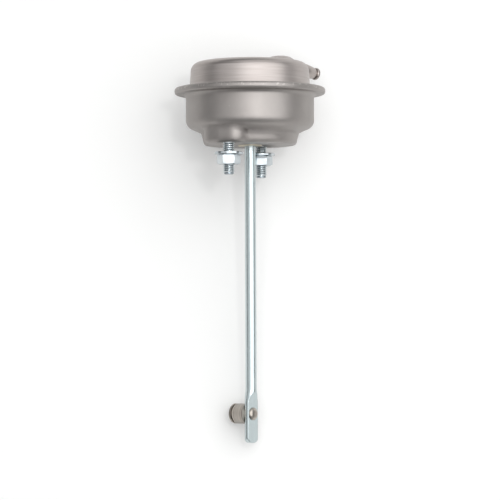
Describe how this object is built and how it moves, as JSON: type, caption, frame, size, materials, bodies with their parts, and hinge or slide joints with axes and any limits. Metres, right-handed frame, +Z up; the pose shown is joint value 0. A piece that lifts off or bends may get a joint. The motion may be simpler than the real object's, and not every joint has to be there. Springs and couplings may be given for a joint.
{
  "type": "wastegate actuator",
  "caption": "Pressure actuator with a stepped crimped can, a hose tail, mounting studs with nuts, and a spring-returned pull rod ending in a flattened blade with a lever pin.",
  "frame": {"origin": "where the rod's axis meets the outside of the can's base, the face that lies against the bracket", "axes": "+Z up through the can to the cover, with the rod towards -Z; +X from the lobe stud to the inner stud"},
  "size_m": [0.0791, 0.0754, 0.1951],
  "materials": {
    "can_steel": "satin, blasted",
    "cover_steel": "brushed",
    "tail_steel": "turned",
    "fastener_zinc": "zinc plated",
    "bush_bronze": "sintered",
    "rod_steel": "ground",
    "pin_steel": "turned",
    "inner_steel": "satin",
    "spring_steel": "phosphated",
    "diaphragm_rubber": "matte"
  },
  "bodies": {
    "housing": {"can_shell": "can_steel", "cover_shell": "cover_steel", "hose_tail": "tail_steel", "diaphragm": "diaphragm_rubber", "mounting_plate": "inner_steel", "lobe_stud": "fastener_zinc", "inner_stud": "fastener_zinc", "lobe_nut": "fastener_zinc", "inner_nut": "fastener_zinc", "lobe_washer": "fastener_zinc", "inner_washer": "fastener_zinc", "guide_bush": "bush_bronze", "bush_retainer": "inner_steel", "spring_seat": "inner_steel", "spring": "spring_steel"},
    "rod": {"actuator_rod": "rod_steel", "lever_pin": "pin_steel", "piston_cup": "inner_steel", "support_washer": "inner_steel", "clamp_plate": "inner_steel"}
  },
  "joints": [
    {"name": "rod_stroke", "type": "slide", "parent": "housing", "child": "rod", "axis": [0, 0, -1], "range_m": [0, 0.012], "stiffness_N_per_m": 8000, "springref_m": -0.017, "deforming": ["spring", "diaphragm"]}
  ]
}
